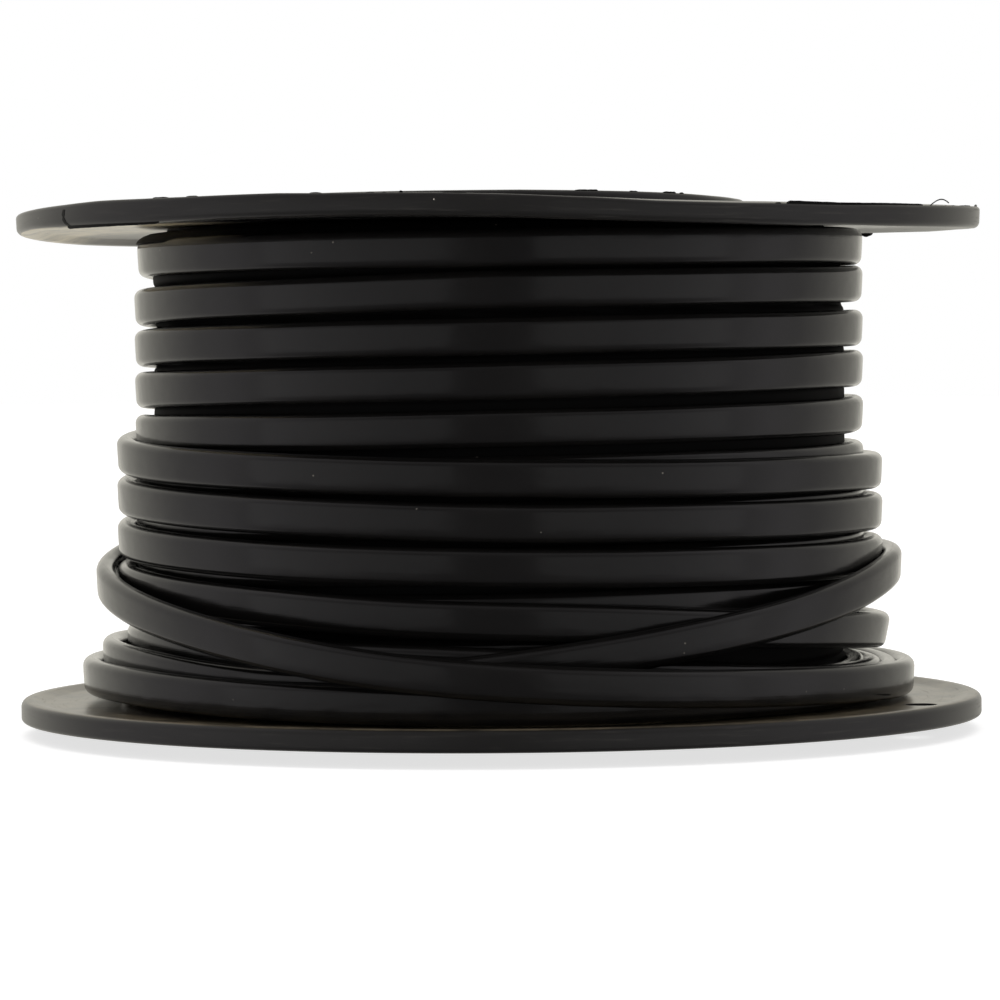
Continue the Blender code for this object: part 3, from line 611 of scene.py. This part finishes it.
def windingPath(lay, shape):
    # one cable: an outer layer laid down the spool by formula, turns at the foot by list, return turns by
    # formula, loose loops by list; angle runs clockwise, radius goes up by whole layers
    step, wide = lay["step"], shape["width"]
    turnA = np.arange(-lay["riser"], 360.0 * lay["turns"], step)
    pitch = (lay["highest"] - lay["lowest"] - lay["layerEnd"] * wide) / lay["turns"]
    whole = np.floor(turnA / 360.0)
    part = turnA - 360.0 * whole
    ease = np.clip((part - 180.0) / 75.0, 0, 1)
    drop = lay["frontDrop"] * np.minimum(part / 180.0, 1) + (1 - lay["frontDrop"]) * ease ** 2 * (3 - 2 * ease)
    heightA = lay["highest"] - np.where(turnA > 0, pitch * (whole + drop), 0.0)
    layerA = np.clip((turnA + 60.0) / 45.0, -1, 0)
    turnFoot = np.arange(0.0, footRoute[-1, 0], step)
    heightFoot = lay["lowest"] + wide * np.interp(turnFoot, footRoute[:, 0], footRoute[:, 1])
    turnB = np.arange(0.0, 900.0, step)
    heightB = lay["lowest"] + wide * (footRoute[-1, 1] + lay["returnPitch"]
                                      * (turnB / 360.0 - lay["returnLag"] * np.sin(np.radians(turnB))))
    turnLoose = np.arange(looseRoute[0, 0], looseRoute[-1, 0] + step / 2, step)
    heightLoose = lay["lowest"] + wide * np.interp(turnLoose, looseRoute[:, 0], looseRoute[:, 1])
    startFoot = 360.0 * lay["turns"]
    startB = startFoot + footRoute[-1, 0]
    turns = np.concatenate([turnA, startFoot + turnFoot, startB + turnB, startB + 720.0 + turnLoose])
    heights = np.concatenate([heightA, heightFoot, heightB, heightLoose])
    layers = np.concatenate([layerA, np.interp(turnFoot, footRoute[:, 0], footRoute[:, 2]), np.ones(len(turnB)),
                             np.interp(turnLoose, looseRoute[:, 0], looseRoute[:, 2])])
    heights = heights + 0.001 * np.interp(turns, settledLift[:, 0], settledLift[:, 1])
    layers = layers + np.interp(turns, settledBulge[:, 0], settledBulge[:, 1])
    heights, layers = blurred(heights, lay["blur"]), blurred(layers, lay["blur"])
    heights = heights + lay["shake"] * wander(turns, (47.0, 83.0, 131.0), 7)
    lean = np.radians(blurred(np.interp(turns, settledLean[:, 0], settledLean[:, 1]), lay["blur"]))
    angle = -np.radians(turns)
    radius = lay["radius"] + lay["layerStep"] * layers
    return np.stack([radius * np.cos(angle), radius * np.sin(angle), heights], axis=1), lean[:, None]


def pathFrames(path):
    # direction along the path, across it up the spool, and off the spool
    along = np.gradient(path, axis=0)
    along /= np.linalg.norm(along, axis=1)[:, None]
    across = np.cross(along, path * np.array([1.0, 1.0, 0.0]))
    across /= np.linalg.norm(across, axis=1)[:, None]
    return along, across, np.cross(across, along)


path, lean = windingPath(windingLay, cableShape)
along, across, out = pathFrames(path)
# the last end runs straight on to its cut
ahead = path[-1] + along[-1] * np.linspace(0, windingLay["endLength"], 6)[1:, None]
path = np.concatenate([path, ahead])
along = np.concatenate([along, np.tile(along[-1], (5, 1))])
across = np.concatenate([across, np.tile(across[-1], (5, 1))])
out = np.concatenate([out, np.tile(out[-1], (5, 1))])
lean = np.concatenate([lean, np.tile(lean[-1], (5, 1))])
section = cableSection(cableShape)
winding = sweep("cableWinding", path, across * np.cos(lean) + out * np.sin(lean),
                out * np.cos(lean) - across * np.sin(lean), section, sheathPvc)
settle(winding, "sheath_pvc", "cable_winding", "finish_tail")
print("winding laid,", len(path), "stations")

# inner layers: a closed ring whose outer side is lanes of cable laid as a screw, shallow grooves between them; it takes
# the darker, duller sheath copy as painted shade
innerLayers = {"inside": 0.0524, "outside": 0.0719, "bottom": 0.0066, "top": 0.1043, "lane": 0.0080, "groove": 0.0009,
               "edge": 0.0045, "sides": 180, "rows": 200,
               "shoulderFrom": 0.1011, "shoulderTo": 0.1038, "shoulderIn": 0.0689, "shoulderOut": 0.0754}
turn = np.arange(innerLayers["sides"]) * 2 * math.pi / innerLayers["sides"]
rows = np.linspace(innerLayers["bottom"], innerLayers["top"], innerLayers["rows"])
lane = (rows[None] / innerLayers["lane"] - turn[:, None] / (2 * math.pi)) % 1.0
outside = innerLayers["outside"] - innerLayers["groove"] * np.abs(2 * lane - 1) ** 8
# the ring's upper and lower edges are rounded as a quarter circle
past = np.clip(np.abs(rows - rows.mean()) - (rows[-1] - rows[0]) / 2 + innerLayers["edge"], 0, innerLayers["edge"])
outside = outside - (innerLayers["edge"] - np.sqrt(innerLayers["edge"] ** 2 - past ** 2))[None]
# at the left the uppermost turn stands out over the winding, its shoulder a quarter of an ellipse
over = (rows - innerLayers["shoulderFrom"]) / (innerLayers["shoulderTo"] - innerLayers["shoulderFrom"])
over = np.clip(over, 0, 1)
shoulder = innerLayers["shoulderIn"] + (innerLayers["shoulderOut"] - innerLayers["shoulderIn"]) * np.sqrt(1 - over ** 2)
facing = facingOf(turn)
standsOut = np.clip((facing + 135) / 30, 0, 1) * np.clip((-45 - facing) / 20, 0, 1)
outside = outside + np.where(over > 0, shoulder - outside, 0.0) * standsOut[:, None]
# the winding rises out of the top lane, so the ring steps back there
riserTurn = -((np.degrees(turn) + 180) % 360 - 180)
riserIn = windingLay["radius"] + windingLay["layerStep"] * np.clip((riserTurn + 60) / 45, -1, 0) \
    - cableShape["thickness"] / 2 - 0.0003
rising = (riserTurn[:, None] > -126) & (riserTurn[:, None] < 6) & (rows[None] > windingLay["highest"] - 0.0043)
outside = np.where(rising, np.minimum(outside, riserIn[:, None]), outside)
radius = np.column_stack([np.full(len(turn), innerLayers["inside"]), outside, np.full(len(turn), innerLayers["inside"])])
level = np.concatenate([rows[:1], rows, rows[-1:]])
points = np.stack([radius * np.cos(turn)[:, None], radius * np.sin(turn)[:, None],
                   np.tile(level, (len(turn), 1))], axis=-1)
uv = np.stack([np.tile(turn[:, None] * innerLayers["outside"], (1, len(level))), np.tile(level, (len(turn), 1))], axis=-1)
inner = addSurface("cableInnerLayers", points, gridFaces(*points.shape[:2], True, True).tolist(), innerPvcShaded, uv)
settle(inner, "sheath_pvc", "cable_pack")
print("inner layers made")

# cut ends: sheath round two cores, each core round seven strands
endShape = {"coreRadius": 0.0011, "coreWall": 0.0003, "spacing": 0.0036, "coreOut": 0.0004, "strandOut": 0.0008,
            "strandRadius": 0.00023, "startLength": 0.02}


def addCores(prefix, start, along, across, out, length, shape):
    # each core is a short tube, each conductor seven round strands, one in the middle and six about it
    for tag, side in (("red", 1), ("black", -1)):
        seat = start + across * (side * shape["spacing"] / 2)
        around = np.arange(24) * 2 * math.pi / 24
        circle = np.cos(around)[:, None] * across + np.sin(around)[:, None] * out
        inside = shape["coreRadius"] - shape["coreWall"]
        reach = length + shape["coreOut"]
        rings = np.array([seat + circle * r + along * s for r, s in (
            (inside, 0.0), (shape["coreRadius"], 0.0), (shape["coreRadius"], reach), (inside, reach))])
        faces = gridFaces(4, 24, True, True)
        core = addSurface(prefix + "Core" + tag.title(), rings, faces.tolist(), corePvc[tag])
        settle(core, "core_%s_pvc" % tag, "%s_core_%s" % (prefix, tag))
        ten = np.arange(10) * 2 * math.pi / 10
        spots = np.concatenate([[[0.0, 0.0]], 2.1 * shape["strandRadius"] * np.stack(
            [np.cos(np.arange(6) * math.pi / 3), np.sin(np.arange(6) * math.pi / 3)], axis=1)])
        profile = spots[:, None] + shape["strandRadius"] * np.stack([np.cos(ten), np.sin(ten)], axis=1)[None]
        ends = np.array([seat + along * s for s in (0.0001, length + shape["strandOut"])])
        solid = ends[None, :, None] + profile[:, None, :, :1] * across + profile[:, None, :, 1:] * out
        quads = gridFaces(2, 10, False, True)
        quads = np.concatenate([quads + 20 * n for n in range(7)]).tolist()
        caps = [list(range(20 * n, 20 * n + 10)) for n in range(7)]
        caps += [list(range(20 * n + 19, 20 * n + 9, -1)) for n in range(7)]
        strands = addSurface(prefix + "Strands" + tag.title(), solid.reshape(-1, 3), quads + caps, copperStrand)
        settle(strands, "copper_strand", "%s_conductor_%s" % (prefix, tag))


addCores("finish", path[-6] + along[-1] * 0.0003, along[-1], across[-1], out[-1], windingLay["endLength"] - 0.0003, endShape)
low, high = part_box("start_tail")
middle = (low + high) / 2
inward = Vector((-middle.x, -middle.y, 0)).normalized()
startAlong, startAcross = np.array(inward), np.array([0.0, 0.0, 1.0])
startOut = np.cross(startAcross, startAlong)
startAt = np.array(middle) - startAlong * endShape["startLength"] / 2
stretch = startAt + startAlong * np.linspace(0, endShape["startLength"], 8)[:, None]
startEnd = sweep("startSheath", stretch, np.tile(startAcross, (8, 1)), np.tile(startOut, (8, 1)),
                 section * np.array([1.0, 0.9]), sheathPvc)
settle(startEnd, "sheath_pvc", "start_tail")
addCores("start", startAt, startAlong, startAcross, startOut, endShape["startLength"], endShape)
print("cut ends made")


def floorMaterial():
    # matt white painted board; to the camera it is lifted to white and keeps a pale shadow
    mat, tree, shader = newMaterial("paintedWhiteFloor")
    tree.nodes.remove(shader)
    output = tree.nodes["Material Output"]
    rays = addNode(tree, "LightPath")
    plain = addNode(tree, "BsdfDiffuse", {"Color": linearColor("#e9e9e9")})
    shade = addNode(tree, "BsdfDiffuse", {"Color": linearColor("#c4c4c4")})
    glow = addNode(tree, "Emission", {"Color": (1.0, 1.0, 1.0, 1.0), "Strength": 0.72})
    lifted = addNode(tree, "AddShader", {}, {0: shade.outputs[0], 1: glow.outputs[0]})
    lit = addNode(tree, "Emission", {"Color": (1.0, 1.0, 1.0, 1.0), "Strength": 0.3})
    bright = addNode(tree, "AddShader", {}, {0: plain.outputs[0], 1: lit.outputs[0]})
    seen = addNode(tree, "MixShader", {}, {0: rays.outputs["Is Camera Ray"], 1: bright.outputs[0], 2: lifted.outputs[0]})
    clear = addNode(tree, "BsdfTransparent")
    below = addNode(tree, "NewGeometry").outputs["Backfacing"]
    through = addNode(tree, "Math", {"operation": "MAXIMUM"}, {0: rays.outputs["Is Glossy Ray"], 1: below})
    final = addNode(tree, "MixShader", {}, {0: through.outputs[0], 1: seen.outputs[0], 2: clear.outputs[0]})
    tree.links.new(final.outputs[0], output.inputs["Surface"])
    return mat


side = 6.0
corner = np.array([(-side, -side, -0.0004), (side, -side, -0.0004), (side, side, -0.0004), (-side, side, -0.0004)])
floor = addSurface("floor", corner, [[0, 1, 2, 3]], floorMaterial())

# studio: white behind the spool and dim towards the camera; in front it fades straight above and towards the
# floor, it is a little weaker at both sides, more so on the right, and a little warmer behind
studio = {"dim": 0.10, "bright": 1.0, "bend": 1.25, "front": "#fffbfd", "behind": "#fffcf0"}
# smooth changes over part of one axis: axis, from, to, value before, value after
studioFades = {"above": ("Z", 0.80, 0.98, 1.0, 0.3), "below": ("Z", -0.15, -1.0, 1.0, 0.1),
               "front": ("Y", 0.35, -0.2, 0.0, 1.0), "sideFrom": ("Y", 0.0, 0.35, 0.0, 1.0),
               "sideTo": ("Y", 0.9, 0.98, 1.0, 0.0), "weak": ("X", -0.3, 0.3, 0.26, 0.42),
               "warm": ("Y", 0.0, 0.9, 0.0, 1.0)}
world = bpy.data.worlds.new("studio")
bpy.context.scene.world = world
world.use_nodes = True
tree = world.node_tree
direction = addNode(tree, "TexCoord").outputs["Generated"]
parts = addNode(tree, "SeparateXYZ", {}, {0: direction})
fades = {}
for name, (axis, start, end, first, last) in studioFades.items():
    fades[name] = addNode(tree, "MapRange", {"interpolation_type": "SMOOTHSTEP", "From Min": start, "From Max": end,
                                             "To Min": first, "To Max": last}, {"Value": parts.outputs[axis]}).outputs[0]
depth = addNode(tree, "MapRange", {"From Min": -1.0, "From Max": 1.0}, {"Value": parts.outputs["Y"]})
bend = addNode(tree, "Math", {"operation": "POWER", 1: studio["bend"]}, {0: depth.outputs[0]})
level = addNode(tree, "MapRange", {"To Min": studio["dim"], "To Max": studio["bright"]}, {"Value": bend.outputs[0]})
upDown = addNode(tree, "Math", {"operation": "MULTIPLY"}, {0: fades["above"], 1: fades["below"]})
darker = addNode(tree, "Mix", {"data_type": "FLOAT", 2: 1.0}, {0: fades["front"], 3: upDown.outputs[0]})
sideways = addNode(tree, "Math", {"operation": "MULTIPLY"}, {0: fades["sideFrom"], 1: fades["sideTo"]})
weaker = addNode(tree, "Math", {"operation": "MULTIPLY"}, {0: sideways.outputs[0], 1: fades["weak"]})
kept = addNode(tree, "Math", {"operation": "SUBTRACT", 0: 1.0}, {1: weaker.outputs[0]})
faded = addNode(tree, "Math", {"operation": "MULTIPLY"}, {0: level.outputs[0], 1: darker.outputs[0]})
shaded = addNode(tree, "Math", {"operation": "MULTIPLY"}, {0: faded.outputs[0], 1: kept.outputs[0]})
rays = addNode(tree, "LightPath")
strength = addNode(tree, "Mix", {"data_type": "FLOAT", 3: 1.0},
                   {0: rays.outputs["Is Camera Ray"], 2: shaded.outputs[0]})
cast = addNode(tree, "Mix", {"data_type": "RGBA", 6: linearColor(studio["front"]), 7: linearColor(studio["behind"])},
               {0: fades["warm"]})
tint = addNode(tree, "Mix", {"data_type": "RGBA", 7: linearColor("#ffffff")},
               {0: rays.outputs["Is Camera Ray"], 6: cast.outputs[2]})
background = tree.nodes["Background"]
tree.links.new(tint.outputs[2], background.inputs["Color"])
tree.links.new(strength.outputs[0], background.inputs["Strength"])

# two softboxes either side of the camera with a dark gap between them, a fill behind the camera, a soft sky above
softboxes = {"left": ((-1.145, -1.117, 0.10), (2.0, 0.9), 0.95, True),
             "right": ((1.087, -1.174, 0.10), (2.0, 0.9), 0.95, True),
             "fill": ((0.0, -2.2, 0.6), (2.0, 2.0), 14.0, False)}
for name, (place, size, power, glossy) in softboxes.items():
    lampData = bpy.data.lights.new("softbox_" + name, "AREA")
    lampData.shape, lampData.energy = "RECTANGLE", power
    lampData.size, lampData.size_y = size
    lamp = bpy.data.objects.new("softbox_" + name, lampData)
    aim = (Vector((0, 0, 0.055)) - Vector(place)).to_track_quat("-Z", "Y").to_matrix().to_4x4()
    lamp.matrix_world = Matrix.Translation(place) @ aim
    lamp.visible_camera, lamp.visible_glossy = False, glossy
    bpy.context.scene.collection.objects.link(lamp)
skyData = bpy.data.lights.new("softSky", "SUN")
skyData.energy, skyData.angle = 1.5, math.radians(70)
sky = bpy.data.objects.new("softSky", skyData)
sky.visible_glossy = False
bpy.context.scene.collection.objects.link(sky)
bpy.context.scene.view_settings.view_transform = "Standard"
print("floor and light set")
